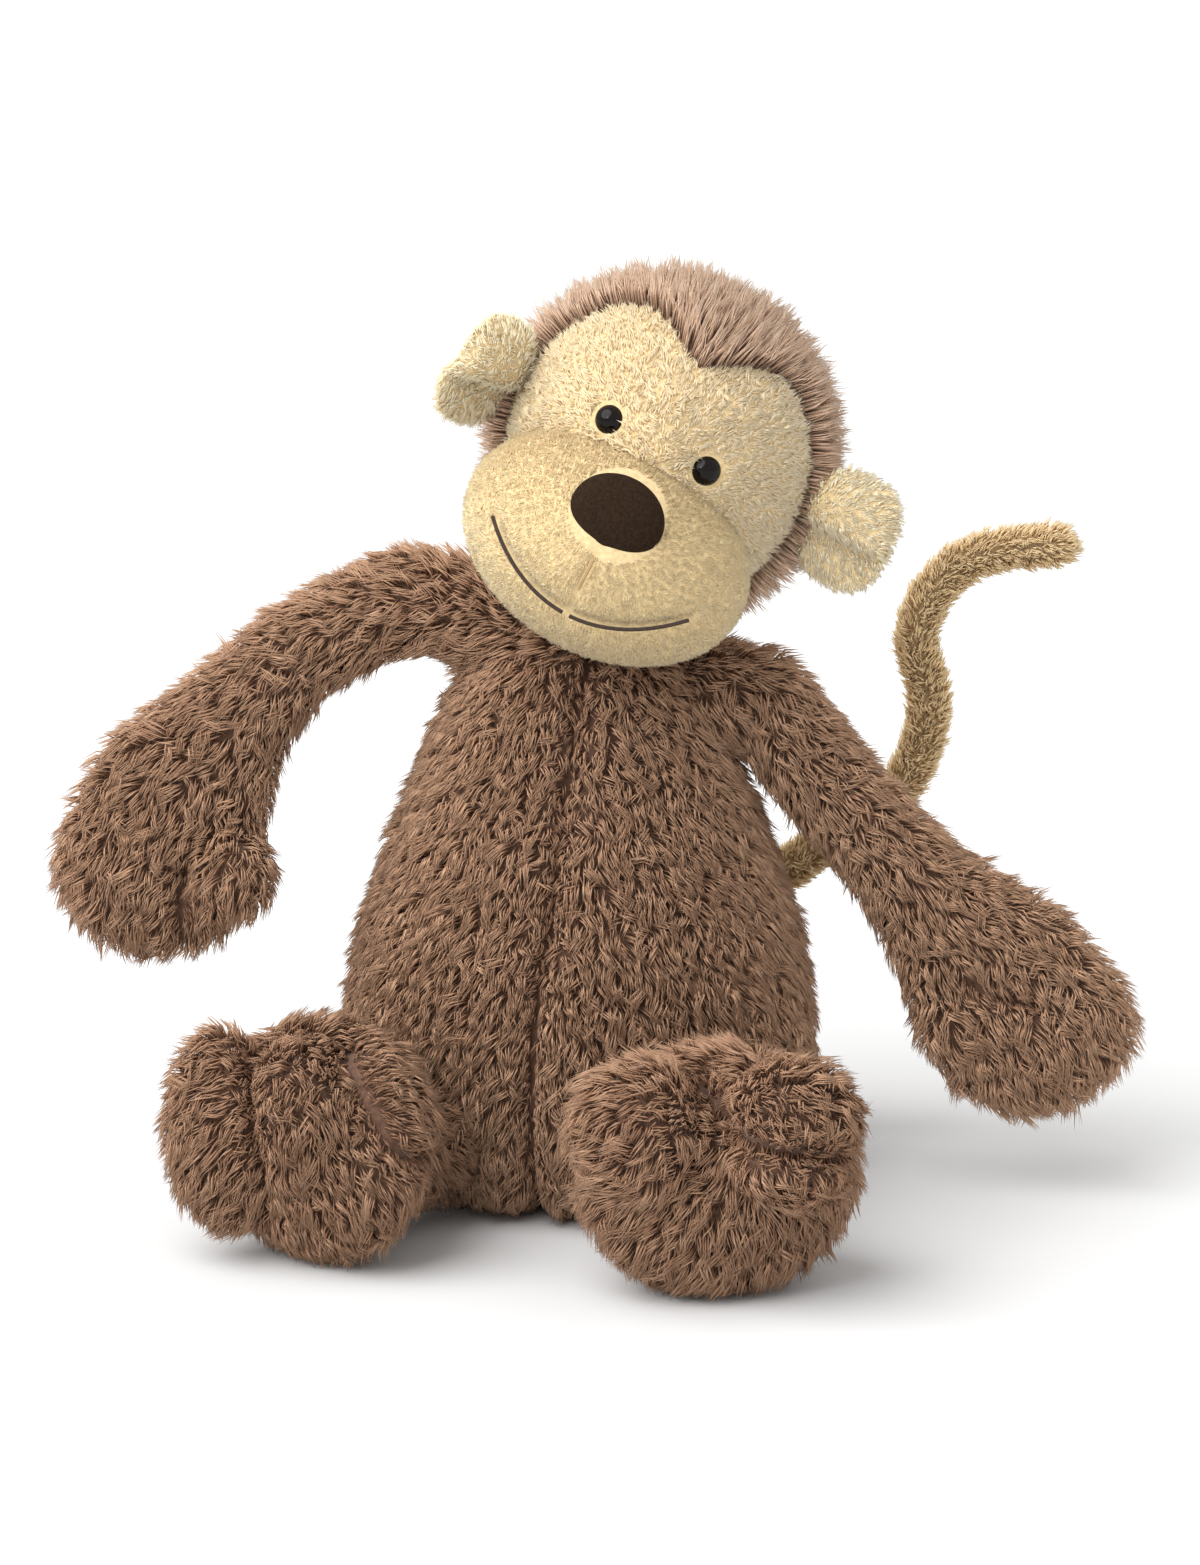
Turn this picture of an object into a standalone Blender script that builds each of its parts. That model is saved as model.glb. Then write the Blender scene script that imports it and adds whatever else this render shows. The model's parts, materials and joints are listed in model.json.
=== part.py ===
"""A stuffed monkey that sits upright with its head tilted and one arm raised.

Metres, +Z up. The monkey faces -Y and its own left is +X. The origin is the middle of the flat
seat base, on the surface that it sits on. Each limb, ear and the tail hangs from an empty on
the axis it moves about, and the head hangs from an empty at the gathered neck.
"""

import math

import bmesh
import bpy
import numpy as np
from mathutils import Vector

# Driving dimensions
GAP = 0.0003  # clearance kept between neighbouring pieces
STUFFING_SLACK = 0.0014  # clearance kept between the stuffing and its cover
HEAD_STUFFING_INSET = 0.0064  # depth of the head's stuffing under its skin
PLUSH = 0.0025  # thickness of a plush cover, backing and pile root together
SHORT_PLUSH = 0.0015  # thickness of the tail's cover
LEFT, RIGHT = 1, -1  # the monkey's own sides, as signs of X

BODY_DEPTH = 0.86  # depth of the body over its width
BODY_OUTLINE = [  # half width and height, from the rim of the seat base up to the neck
    (0.0385, 0.0008), (0.0480, 0.0045), (0.0545, 0.0160), (0.0572, 0.0340), (0.0550, 0.0600),
    (0.0470, 0.0850), (0.0375, 0.1100), (0.0295, 0.1280), (0.0200, 0.1400), (0.0090, 0.1455),
]
SEAT_RADIUS = 0.0370
SEAT_THICKNESS = 0.0025
SEAT_BAG_TOP = 0.0240
BODY_ROWS, PANEL_COLUMNS = 14, 6

NECK = (0.0, -0.002, 0.147)  # the gathered neck, about which the head turns and tilts
NECK_THREAD_RADIUS, NECK_THREAD_THICKNESS = 0.0085, 0.0009
HEAD_TILT, HEAD_YAW = np.radians((27, 2))  # it leans to the toy's left and looks a little to it

# The head's own frame starts at the neck: X to its left, Z along the neck.
SKULL_CENTRE = np.array((0.0, 0.0, 0.046))
SKULL_SEMI = np.array((0.038, 0.035, 0.039))
MUZZLE_CENTRE = np.array((0.0, -0.026, 0.0237))
MUZZLE_SEMI = np.array((0.0365, 0.029, 0.0262))
HEAD_CORE = np.array((0.0, -0.014, 0.0385))  # inside skull and muzzle, behind the nose
HEAD_COLUMNS = 28
HAIRLINE, BROW_PEAK, BROW_PEAK_WIDTH = np.radians((96, 24, 19))  # angles seen from the core
CHIN_STRIP = math.radians(9)  # least width of the face panel, seen from the core

EYE_SPREAD, EYE_HEIGHT, EYE_RADIUS, EYE_DOME = 0.0127, 0.0526, 0.0037, 0.0026
SHANK_RADIUS, SHANK_LENGTH = 0.0011, 0.0062
WASHER_RADIUS, WASHER_THICKNESS, WASHER_DEPTH = 0.0042, 0.0010, 0.0034
POST_TOP, POST_FOOT = 0.0030, -0.0075  # reach of the holes made for an eye's shank and washer
NOSE_SEMI, NOSE_HEIGHT = (0.0115, 0.0095), 0.0042
SMILE_HALF_WIDTH, SMILE_LOW, SMILE_RISE, SMILE_BREAK = 0.0264, 0.0105, 0.0115, 0.0009
PHILTRUM_TOP, PHILTRUM_FOOT = 0.0262, 0.0180
STITCH_RADIUS, STITCH_LIFT, STITCH_POINTS = 0.0005, 0.0014, 12

EAR_ROOTS = {"left": (0.0378, -0.006, 0.0515), "right": (-0.0380, -0.006, 0.0458)}  # one higher
EAR_FORWARD = {"left": math.radians(10), "right": math.radians(43)}  # turn towards the face
EAR_SEMI, EAR_THICKNESS, EAR_RIM = (0.0124, 0.0150), 0.0042, 0.16
EAR_CUP, EAR_SQUARENESS, EAR_COLUMNS = 0.0035, 2.6, 18

ARM_RADIUS, HAND_HALF_WIDTH, ARM_HALF_THICKNESS = 0.0115, 0.0255, 0.0110
RAISED_ARM = [
    (-0.030, -0.004, 0.148), (-0.046, -0.008, 0.1485), (-0.068, -0.015, 0.137),
    (-0.084, -0.021, 0.120), (-0.096, -0.026, 0.102), (-0.102, -0.030, 0.084),
    (-0.105, -0.033, 0.063),
]
LOWERED_ARM = [
    (0.0445, 0.0045, 0.1255), (0.0555, 0.0055, 0.1115), (0.068, 0.006, 0.097),
    (0.087, 0.007, 0.0755), (0.101, 0.0075, 0.060), (0.113, 0.008, 0.044), (0.1235, 0.009, 0.0235),
]

HIP = (0.038, -0.054, 0.020)
LEG_PATH = [  # the left leg from the hip to the sole
    HIP, (0.042, -0.066, 0.0245), (0.047, -0.079, 0.0285), (0.053, -0.092, 0.0305),
    (0.0575, -0.103, 0.0315),
]
LEG_STRETCH = {"left": (0.90, 1.0, 1.0), "right": (1.14, 0.70, 1.0)}  # the right leg is drawn back
LEG_RADIUS, FOOT_HALF_WIDTH, FOOT_HALF_HEIGHT = 0.0140, 0.0330, 0.0290
HAND_ROUND, FOOT_ROUND = 0.022, 0.019  # length over which a hand or a foot rounds off
SOLE_ROW, BAG_ROW = 11, 8  # rows along the leg where the sole and the foot's bean bag begin

TAIL_PATH = [
    (0.012, 0.0500, 0.044), (0.014, 0.0550, 0.0455), (0.024, 0.0595, 0.053),
    (0.047, 0.0580, 0.0715), (0.065, 0.0620, 0.084), (0.0755, 0.0640, 0.095),
    (0.0805, 0.0650, 0.114), (0.0765, 0.0640, 0.132), (0.085, 0.0655, 0.148),
    (0.098, 0.0660, 0.154), (0.1125, 0.0657, 0.1555),
]
TAIL_RADIUS, TAIL_ROWS, TAIL_COLUMNS = 0.0047, 26, 8

MATERIALS = {  # colour and roughness
    "brown_plush": ((0.258, 0.160, 0.100), 0.95),
    "cream_plush": ((0.720, 0.560, 0.330), 0.95),
    "tail_plush": ((0.480, 0.350, 0.195), 0.95),
    "dark_suede": ((0.045, 0.024, 0.014), 0.90),
    "black_gloss": ((0.010, 0.008, 0.007), 0.12),
    "clear_washer": ((0.600, 0.600, 0.580), 0.50),
    "brown_thread": ((0.060, 0.032, 0.018), 0.80),
    "white_filling": ((0.800, 0.790, 0.760), 1.00),
    "bean_bag": ((0.620, 0.600, 0.550), 0.90),
}


# --- Points ---------------------------------------------------------------------------------


def smooth_path(points, count):
    """Points at equal distances along the Catmull-Rom curve through the given points."""
    knots = np.array(points, float)
    knots = np.vstack((2 * knots[0] - knots[1], knots, 2 * knots[-1] - knots[-2]))
    t = np.linspace(0, 1, 24, endpoint=False)[:, None]
    spans = [
        0.5 * (2 * b + (c - a) * t + (2 * a - 5 * b + 4 * c - d) * t**2 + (3 * (b - c) + d - a) * t**3)
        for a, b, c, d in zip(knots, knots[1:], knots[2:], knots[3:])
    ]
    dense = np.vstack(spans + [knots[-2:-1]])
    along = np.concatenate(([0], np.cumsum(np.linalg.norm(np.diff(dense, axis=0), axis=1))))
    wanted = np.linspace(0, along[-1], count)
    return np.stack([np.interp(wanted, along, column) for column in dense.T], axis=1)


def unit(vectors):
    return vectors / np.linalg.norm(vectors, axis=-1, keepdims=True)


def inset_outline(outline, depth):
    """The outline moved inwards, square to itself."""
    slope = unit(np.gradient(outline, axis=0))
    return outline - depth * np.stack((slope[:, 1], -slope[:, 0]), axis=1)


# --- Meshes ---------------------------------------------------------------------------------


def numbered(grid, first_pole, last_pole, start):
    """The grid's points as a list, and each grid place's number in it; a pole row is one point."""
    numbers = np.zeros(grid.shape[:2], int)
    points = []
    for row, (line, places) in enumerate(zip(grid, numbers)):
        pole = (row == 0 and first_pole) or (row == len(grid) - 1 and last_pole)
        places[:] = start + len(points) if pole else start + len(points) + np.arange(len(line))
        points.extend(line[:1] if pole else line)
    return points, numbers


def tiles(numbers, wrap):
    """Faces between neighbouring rows and columns, three-sided at a pole."""
    if wrap:
        numbers = np.hstack((numbers, numbers[:, :1]))
    faces = []
    for low, high in zip(numbers, numbers[1:]):
        for a, b, c, d in zip(low, low[1:], high[1:], high):
            faces.append(tuple(dict.fromkeys((int(a), int(b), int(c), int(d)))))
    return faces


def wall(outer, inner, wrap=False, first_pole=False, last_pole=False):
    """The closed space between two grids of points: a cover and its lining, say."""
    points, out = numbered(outer, first_pole, last_pole, 0)
    more, ins = numbered(inner, first_pole, last_pole, len(points))
    faces = tiles(out, wrap) + tiles(ins, wrap)
    if not wrap:
        for side in (0, -1):
            faces += tiles(np.stack((ins[:, side], out[:, side]), axis=1), False)
    for row, pole in ((0, first_pole), (-1, last_pole)):
        if not pole:
            faces += tiles(np.stack((ins[row], out[row])), wrap)
    return points + more, faces


def solid(grid):
    """A closed round solid whose first and last rows are poles."""
    points, numbers = numbered(grid, True, True, 0)
    return points, tiles(numbers, True)


# --- Objects --------------------------------------------------------------------------------


def clear_scene():
    for obj in list(bpy.data.objects):
        bpy.data.objects.remove(obj, do_unlink=True)


def make_materials():
    for name, (colour, roughness) in MATERIALS.items():
        made = bpy.data.materials.new(name)
        made.use_nodes = True
        shader = made.node_tree.nodes["Principled BSDF"]
        shader.inputs["Base Color"].default_value = (*colour, 1)
        shader.inputs["Roughness"].default_value = roughness
        shader.inputs["Metallic"].default_value = 0
        made.diffuse_color = (*colour, 1)


def add_pivot(name, location, parent=None, rotation=(0, 0, 0)):
    pivot = bpy.data.objects.new(name, None)
    pivot.location = location
    pivot.rotation_euler = rotation
    pivot.parent = parent
    bpy.context.scene.collection.objects.link(pivot)
    return pivot


def add_piece(name, material, shape, pivot=None, offset=(0, 0, 0)):
    """One named object from points and faces given in its pivot's frame, its faces pointing out."""
    points, faces = shape
    mesh = bpy.data.meshes.new(name)
    mesh.from_pydata([tuple(map(float, point)) for point in points], [], faces)
    shaped = bmesh.new()
    shaped.from_mesh(mesh)
    bmesh.ops.recalc_face_normals(shaped, faces=shaped.faces)
    if shaped.calc_volume(signed=True) < 0:
        bmesh.ops.reverse_faces(shaped, faces=shaped.faces)
    shaped.to_mesh(mesh)
    shaped.free()
    mesh.shade_smooth()
    mesh.set_sharp_from_angle(angle=math.radians(50))
    mesh.materials.append(bpy.data.materials[material])
    piece = bpy.data.objects.new(name, mesh)
    piece.parent = pivot
    piece.location = offset
    bpy.context.scene.collection.objects.link(piece)
    return piece


def turned(outline, columns):
    """A round solid or grid turned about Z from (radius, height) points."""
    angles = np.linspace(0, math.tau, columns, endpoint=False)
    ring = np.stack((np.cos(angles), np.sin(angles)), axis=1)
    return np.array([[(r * x, r * y, z) for x, y in ring] for r, z in outline])


def aim(piece, point, normal):
    """Stand a piece on a point with its own Z along a normal."""
    piece.location = point
    piece.rotation_euler = Vector(normal).to_track_quat("Z", "Y").to_euler()


def cut(piece, cutter):
    """Take a cutter's shape out of a piece."""
    cutter.hide_render = True
    cutter.display_type = "WIRE"
    boolean = piece.modifiers.new("cut_" + cutter.name, "BOOLEAN")
    boolean.operation = "DIFFERENCE"
    boolean.object = cutter


# --- Body -----------------------------------------------------------------------------------


def body_grid(outline, start, end, columns):
    angles = np.radians(np.linspace(start, end, columns + 1))
    rings = [[(r * math.cos(a), BODY_DEPTH * r * math.sin(a), z) for a in angles] for r, z in outline]
    return np.array(rings)


def make_body():
    outline = smooth_path(BODY_OUTLINE, BODY_ROWS)
    lining = inset_outline(outline, PLUSH)
    quarters = {
        "body_back_left": (0, 1, 1), "body_back_right": (90, -1, 1),
        "body_front_right": (180, -1, -1), "body_front_left": (270, 1, -1),
    }
    for name, (start, side_x, side_y) in quarters.items():
        shape = wall(*(body_grid(o, start, start + 90, PANEL_COLUMNS) for o in (outline, lining)))
        add_piece(name, "brown_plush", shape, offset=(side_x * GAP / 2, side_y * GAP / 2, 0))

    base = np.array([(0, 0), (SEAT_RADIUS, 0), (SEAT_RADIUS, SEAT_THICKNESS), (0, SEAT_THICKNESS)])
    seat = turned(base, 24) * (1, BODY_DEPTH, 1)
    add_piece("seat_base", "brown_plush", solid(seat))

    stuffed = inset_outline(outline, PLUSH + GAP)
    bag = [point for point in stuffed if SEAT_THICKNESS + GAP < point[1] < SEAT_BAG_TOP]
    low, high = SEAT_THICKNESS + 2 * GAP, SEAT_BAG_TOP - GAP
    bag = np.array([(0, low), (0.9 * bag[0][0], low), *bag, (0.95 * bag[-1][0], high), (0, high)])
    add_piece("seat_bean_bag", "bean_bag", solid(turned(bag, 20) * (1, BODY_DEPTH, 1)))
    upper = [point for point in stuffed if point[1] > SEAT_BAG_TOP]
    upper = np.array([(0, SEAT_BAG_TOP), (0.97 * upper[0][0], SEAT_BAG_TOP), *upper, (0, upper[-1][1])])
    add_piece("body_filling", "white_filling", solid(turned(upper, 20) * (1, BODY_DEPTH, 1)))


# --- Head -----------------------------------------------------------------------------------


def reach(direction, centre, semi):
    """Distance from the head's core to an ellipsoid round it, along each direction."""
    p, q = (HEAD_CORE - centre) / semi, direction / semi
    pq, qq = q @ p, (q * q).sum(-1)
    return (-pq + np.sqrt(pq**2 - qq * (p @ p - 1))) / qq


def head_direction(polar, azimuth):
    """Directions from the core: polar from straight ahead, azimuth from up towards the left."""
    return np.stack(
        (np.sin(polar) * np.sin(azimuth), -np.cos(polar), np.sin(polar) * np.cos(azimuth)), axis=-1
    )


def head_points(polar, azimuth, inset=0.0):
    direction = head_direction(polar, azimuth)
    skull = reach(direction, SKULL_CENTRE, SKULL_SEMI)
    muzzle = reach(direction, MUZZLE_CENTRE, MUZZLE_SEMI)
    return HEAD_CORE + (np.maximum(skull, muzzle) - inset)[..., None] * direction


def muzzle_edge(azimuth):
    """Polar angle of the seam where the muzzle rises out of the skull, by halving."""
    low, high = np.full_like(azimuth, 0.1), np.full_like(azimuth, 3.0)
    for _ in range(40):
        middle = (low + high) / 2
        direction = head_direction(middle, azimuth)
        outside = reach(direction, MUZZLE_CENTRE, MUZZLE_SEMI) > reach(direction, SKULL_CENTRE, SKULL_SEMI)
        low, high = np.where(outside, middle, low), np.where(outside, high, middle)
    return low


def hairline(azimuth):
    """Polar angle where the cream face meets the brown cap, with a peak over the brow."""
    heart = HAIRLINE - BROW_PEAK * np.exp(-((azimuth / BROW_PEAK_WIDTH) ** 2))
    return np.maximum(heart, muzzle_edge(azimuth) + CHIN_STRIP)


def head_panel(polar_from, polar_to, azimuth, rows):
    """Outer and inner grids of a panel between two polar angles for each azimuth."""
    share = np.linspace(0, 1, rows + 1)[:, None]
    polar = polar_from + (polar_to - polar_from) * share
    grid = np.broadcast_to(azimuth, polar.shape)
    return head_points(polar, grid), head_points(polar, grid, PLUSH)


def make_head(neck):
    around = np.radians(np.linspace(-180, 180, HEAD_COLUMNS, endpoint=False))
    slack = GAP / SKULL_SEMI[1]
    seam = muzzle_edge(around)
    muzzle = head_panel(0 * around, seam - slack, around, 6)
    add_piece("muzzle", "cream_plush", wall(*muzzle, wrap=True, first_pole=True), neck)
    face_grids = head_panel(seam + slack, hairline(around) - slack, around, 5)
    face = add_piece("face", "cream_plush", wall(*face_grids, wrap=True), neck)
    for name, side in (("head_cap_left", LEFT), ("head_cap_right", RIGHT)):
        half = side * np.radians(np.linspace(0, 180, HEAD_COLUMNS // 2 + 1))
        cap = head_panel(hairline(half) + slack, 0 * half + math.pi, half, 7)
        add_piece(name, "brown_plush", wall(*cap, last_pole=True), neck, (side * GAP / 2, 0, 0))
    polar = np.linspace(0, math.pi, 14)[:, None] + 0 * around
    core = head_points(polar, around + 0 * polar, HEAD_STUFFING_INSET)
    filling = add_piece("head_filling", "white_filling", solid(core), neck)
    return face, filling


def make_eye(name, side, neck, face, filling):
    """A domed eye whose shank runs through the face to a washer behind it."""
    x, z = side * EYE_SPREAD, EYE_HEIGHT
    left = 1 - (x / SKULL_SEMI[0]) ** 2 - ((z - SKULL_CENTRE[2]) / SKULL_SEMI[2]) ** 2
    point = np.array((x, SKULL_CENTRE[1] - SKULL_SEMI[1] * math.sqrt(left), z))
    normal = unit((point - SKULL_CENTRE) / SKULL_SEMI**2)
    rise = np.radians(np.linspace(0, 90, 6))[::-1]
    dome = [(EYE_RADIUS * math.cos(a), GAP + EYE_DOME * math.sin(a)) for a in rise]
    shank = [(SHANK_RADIUS, GAP), (SHANK_RADIUS, -SHANK_LENGTH), (0, -SHANK_LENGTH)]
    aim(add_piece("eye_" + name, "black_gloss", solid(turned(dome + shank, 16)), neck), point, normal)

    top, foot, hole = -WASHER_DEPTH, -WASHER_DEPTH - WASHER_THICKNESS, SHANK_RADIUS + GAP
    ring = (turned([(radius, top), (radius, foot)], 16) for radius in (WASHER_RADIUS, hole))
    aim(add_piece("eye_washer_" + name, "clear_washer", wall(*ring, wrap=True), neck), point, normal)

    for target, radius in ((face, hole), (filling, WASHER_RADIUS + 2 * GAP)):
        post = turned([(0, POST_TOP), (radius, POST_TOP), (radius, POST_FOOT), (0, POST_FOOT)], 16)
        cutter = add_piece(f"cutter_{target.name}_{name}", "clear_washer", solid(post), neck)
        aim(cutter, point, normal)
        cut(target, cutter)


def make_nose(neck):
    around = np.radians(np.linspace(0, 360, 20, endpoint=False))
    front = HEAD_CORE[1] - head_points(np.array([0.0]), np.array([0.0]))[0, 1]
    edge = np.arctan(1 / front / np.hypot(np.sin(around) / NOSE_SEMI[0], np.cos(around) / NOSE_SEMI[1]))
    share = np.array((0, 0.3, 0.6, 0.85, 1.0))[:, None]
    grid = np.broadcast_to(around, (5, 20))
    height = NOSE_HEIGHT * np.maximum(np.sqrt(1 - share**2), 0.12) + 0 * grid
    under = head_points(share * edge, grid, -GAP)
    over = under + height[..., None] * head_direction(share * edge, grid)
    add_piece("nose", "dark_suede", wall(over, under, wrap=True, first_pole=True), neck)


def muzzle_front(x, z, lift):
    """The point on the front of the muzzle at x and z, lifted off it along Y."""
    left = 1 - (x / MUZZLE_SEMI[0]) ** 2 - ((z - MUZZLE_CENTRE[2]) / MUZZLE_SEMI[2]) ** 2
    return (x, MUZZLE_CENTRE[1] - MUZZLE_SEMI[1] * math.sqrt(left) - lift, z)


def add_thread(name, points, radius, pivot, closed=False):
    """A thread through the given points."""
    data = bpy.data.curves.new(name, "CURVE")
    data.dimensions = "3D"
    data.bevel_depth, data.bevel_resolution, data.use_fill_caps = radius, 1, not closed
    spline = data.splines.new("POLY")
    spline.points.add(len(points) - 1)
    spline.use_cyclic_u = closed
    for knot, point in zip(spline.points, points):
        knot.co = (*point, 1)
    data.materials.append(bpy.data.materials["brown_thread"])
    thread = bpy.data.objects.new(name, data)
    thread.parent = pivot
    bpy.context.scene.collection.objects.link(thread)


def add_stitch(name, places, neck):
    """A stitched line lying on the muzzle, through the given (x, z) places."""
    points = [muzzle_front(x, z, STITCH_LIFT) for x, z in places]
    add_thread(name, points, STITCH_RADIUS, neck)


def make_mouth(neck):
    for name, side in (("mouth_thread_left", LEFT), ("mouth_thread_right", RIGHT)):
        across = side * np.linspace(SMILE_BREAK, SMILE_HALF_WIDTH, STITCH_POINTS)
        smile = [(x, SMILE_LOW + SMILE_RISE * (x / SMILE_HALF_WIDTH) ** 2) for x in across]
        add_stitch(name, smile, neck)
    down = np.linspace(PHILTRUM_TOP, PHILTRUM_FOOT, 4)
    add_stitch("philtrum_stitch", [(0.0, z) for z in down], neck)


def ear_layer(side, depth):
    """The front (-1) or back (1) layer of an ear, from its root outwards."""
    around = np.radians(np.linspace(0, 360, EAR_COLUMNS, endpoint=False))
    out, up = (
        semi * np.sign(wave) * np.abs(wave) ** (2 / EAR_SQUARENESS)
        for semi, wave in zip(EAR_SEMI, (np.cos(around), np.sin(around)))
    )
    share = np.array((0, 0.4, 0.75, 1.0))[:, None]
    seam = depth * GAP / 2 - EAR_CUP * share**2 * np.clip(np.cos(around), 0, 1)
    bulge = depth * EAR_THICKNESS * np.clip(np.sqrt(1 - share**2), EAR_RIM, 1)
    across, height = side * (EAR_SEMI[0] + share * out), share * up
    return [np.stack((across, deep, height), axis=-1) for deep in (seam, seam + bulge)]


def make_ear(name, side, neck):
    root = add_pivot("ear_root_" + name, EAR_ROOTS[name], neck, (0, 0, -side * EAR_FORWARD[name]))
    for layer, depth in (("front", -1), ("back", 1)):
        shape = wall(*ear_layer(side, depth), wrap=True, first_pole=True)
        add_piece(f"ear_{layer}_{name}", "cream_plush", shape, root)


# --- Limbs and tail -------------------------------------------------------------------------


def cap_share(along, length, start_round, end_round):
    """How full a limb's section is at each distance, from 0 at its rounded ends to 1."""
    start = np.clip(1 - along / start_round, 0, 1)
    end = np.clip(1 - (length - along) / end_round, 0, 1)
    return np.sqrt(np.clip(1 - start**2, 0, 1)) * np.sqrt(np.clip(1 - end**2, 0, 1))


def limb_stations(length, start_round, end_round):
    """Distances along a limb, closer together where its ends round off."""
    steps = 1 - np.cos(np.radians((0, 28, 52, 72)))
    middle = np.linspace(start_round, length - end_round, 6)
    return np.concatenate((start_round * steps, middle, length - end_round * steps[::-1]))


def limb_grid(path, section, ends, columns, inset, thick_axis, span=(0, 360)):
    """Points round a limb: section gives its half width and half thickness at each share."""
    dense = smooth_path(path, 200)
    length = np.linalg.norm(np.diff(dense, axis=0), axis=1).sum()
    ends = np.array(ends) - inset
    along = limb_stations(length - 2 * inset, *ends)
    full = cap_share(along, length - 2 * inset, *ends)
    share = (along + inset) / length
    knots = np.linspace(0, 1, len(dense))
    centre, heading = (
        np.stack([np.interp(share, knots, column) for column in line.T], axis=1)
        for line in (dense, unit(np.gradient(dense, axis=0)))
    )
    heading = unit(heading)
    thick_axis = np.array(thick_axis)
    thick = unit(thick_axis - (heading @ thick_axis)[:, None] * heading)
    wide = np.cross(heading, thick)
    half_width, half_thick = ((full * (size - inset))[:, None, None] for size in section(share))
    angles = np.radians(np.linspace(*span, columns + 1))[None, :, None]
    return (centre[:, None] + half_width * np.cos(angles) * wide[:, None]
            + half_thick * np.sin(angles) * thick[:, None])


def swell(share, start, end, small, large):
    """A size that grows smoothly from small to large between two shares of the length."""
    t = np.clip((share - start) / (end - start), 0, 1)
    return small + (large - small) * t * t * (3 - 2 * t)


def arm_section(share):
    return (swell(share, 0.45, 0.80, ARM_RADIUS, HAND_HALF_WIDTH),
            swell(share, 0, 1, ARM_RADIUS, ARM_HALF_THICKNESS))


def leg_section(share):
    return (swell(share, 0.30, 0.66, LEG_RADIUS, FOOT_HALF_WIDTH),
            swell(share, 0.30, 0.66, LEG_RADIUS, FOOT_HALF_HEIGHT))


def extended(path, back):
    """The path with its start moved back, so that the limb's round end is centred on the pivot."""
    points = np.array(path, float)
    first = points[0] - back * unit(points[1] - points[0])
    return np.vstack((first, points))


def make_arm(name, path):
    pivot = add_pivot("shoulder_" + name, path[0])
    points = extended(np.array(path) - path[0], ARM_RADIUS)
    ends, forwards = (ARM_RADIUS, HAND_ROUND), (0, 1, 0)
    for panel, start, depth in (("front", 180, -1), ("back", 0, 1)):
        span = (start, start + 180)
        grids = [limb_grid(points, arm_section, ends, 6, inset, forwards, span) for inset in (0, PLUSH)]
        shape = wall(*grids, first_pole=True, last_pole=True)
        add_piece(f"arm_{panel}_{name}", "brown_plush", shape, pivot, (0, depth * GAP / 2, 0))
    stuffing = limb_grid(points, arm_section, ends, 10, PLUSH + STUFFING_SLACK, forwards)
    add_piece("arm_filling_" + name, "white_filling", solid(stuffing[:, :-1]), pivot)


def make_leg(name, side):
    mirror = np.array((side, 1, 1))
    hip = np.array(HIP) * mirror
    pivot = add_pivot("hip_" + name, hip)
    path = (np.array(LEG_PATH) * mirror - hip) * LEG_STRETCH[name]
    points = extended(path, LEG_RADIUS)
    ends, up = (LEG_RADIUS, FOOT_ROUND), (0, 0, 1)
    ahead = unit(points[-1] - points[-2])
    for panel, start in (("inner", -90 * side), ("outer", 90 * side)):
        span = (start, start + 180)
        away = side if panel == "outer" else -side
        grids = [limb_grid(points, leg_section, ends, 7, inset, up, span)[:SOLE_ROW] for inset in (0, PLUSH)]
        add_piece(f"leg_{panel}_{name}", "brown_plush", wall(*grids, first_pole=True), pivot,
                  (away * GAP / 2, 0, 0))
    sole = [limb_grid(points, leg_section, ends, 14, inset, up)[SOLE_ROW - 1:, :-1] for inset in (0, PLUSH)]
    add_piece("sole_" + name, "brown_plush", wall(*sole, wrap=True, last_pole=True), pivot, 2 * GAP * ahead)

    stuffing = limb_grid(points, leg_section, ends, 12, PLUSH + STUFFING_SLACK, up)[:, :-1]
    middles = stuffing.mean(axis=1, keepdims=True) + 0 * stuffing
    filling = np.concatenate((stuffing[:BAG_ROW], middles[BAG_ROW - 1:BAG_ROW]))
    bag = np.concatenate((middles[BAG_ROW - 1:BAG_ROW], stuffing[BAG_ROW - 1:]))
    add_piece("leg_filling_" + name, "white_filling", solid(filling), pivot)
    add_piece("foot_bean_bag_" + name, "bean_bag", solid(bag), pivot, 2 * GAP * ahead)


def carried_sides(heading, side):
    """A side direction for each heading, carried along without twisting."""
    sides = []
    for ahead in heading:
        side = unit(side - (side @ ahead) * ahead)
        sides.append(side)
    return np.array(sides)


def tail_grid(radius, first):
    """Rings along the tail from its first row, the last ones rounding off its tip."""
    path = smooth_path(np.array(TAIL_PATH) - TAIL_PATH[0], TAIL_ROWS)
    heading = unit(np.gradient(path, axis=0))
    side = carried_sides(heading, np.array((0.0, 0.0, 1.0)))
    above = np.cross(side, heading)
    angles = np.radians(np.linspace(0, 360, TAIL_COLUMNS, endpoint=False))[None, :, None]
    spokes = radius * (np.cos(angles) * side[:, None] + np.sin(angles) * above[:, None])
    shoulder = path[-1] + 0.7 * radius * heading[-1] + 0.7 * spokes[-1]
    tip = path[-1] + radius * heading[-1] + 0 * spokes[-1]
    return np.concatenate(((path[:, None] + spokes)[first:], [shoulder], [tip]))


def make_tail():
    root = add_pivot("tail_root", TAIL_PATH[0])
    grids = [tail_grid(TAIL_RADIUS - inset, 0) for inset in (0, SHORT_PLUSH)]
    add_piece("tail_cover", "tail_plush", wall(*grids, wrap=True, last_pole=True), root)
    stuffing = tail_grid(TAIL_RADIUS - SHORT_PLUSH - 2 * GAP, 1)
    start = stuffing[:1].mean(axis=1, keepdims=True) + 0 * stuffing[:1]
    add_piece("tail_filling", "white_filling", solid(np.concatenate((start, stuffing))), root)


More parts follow.
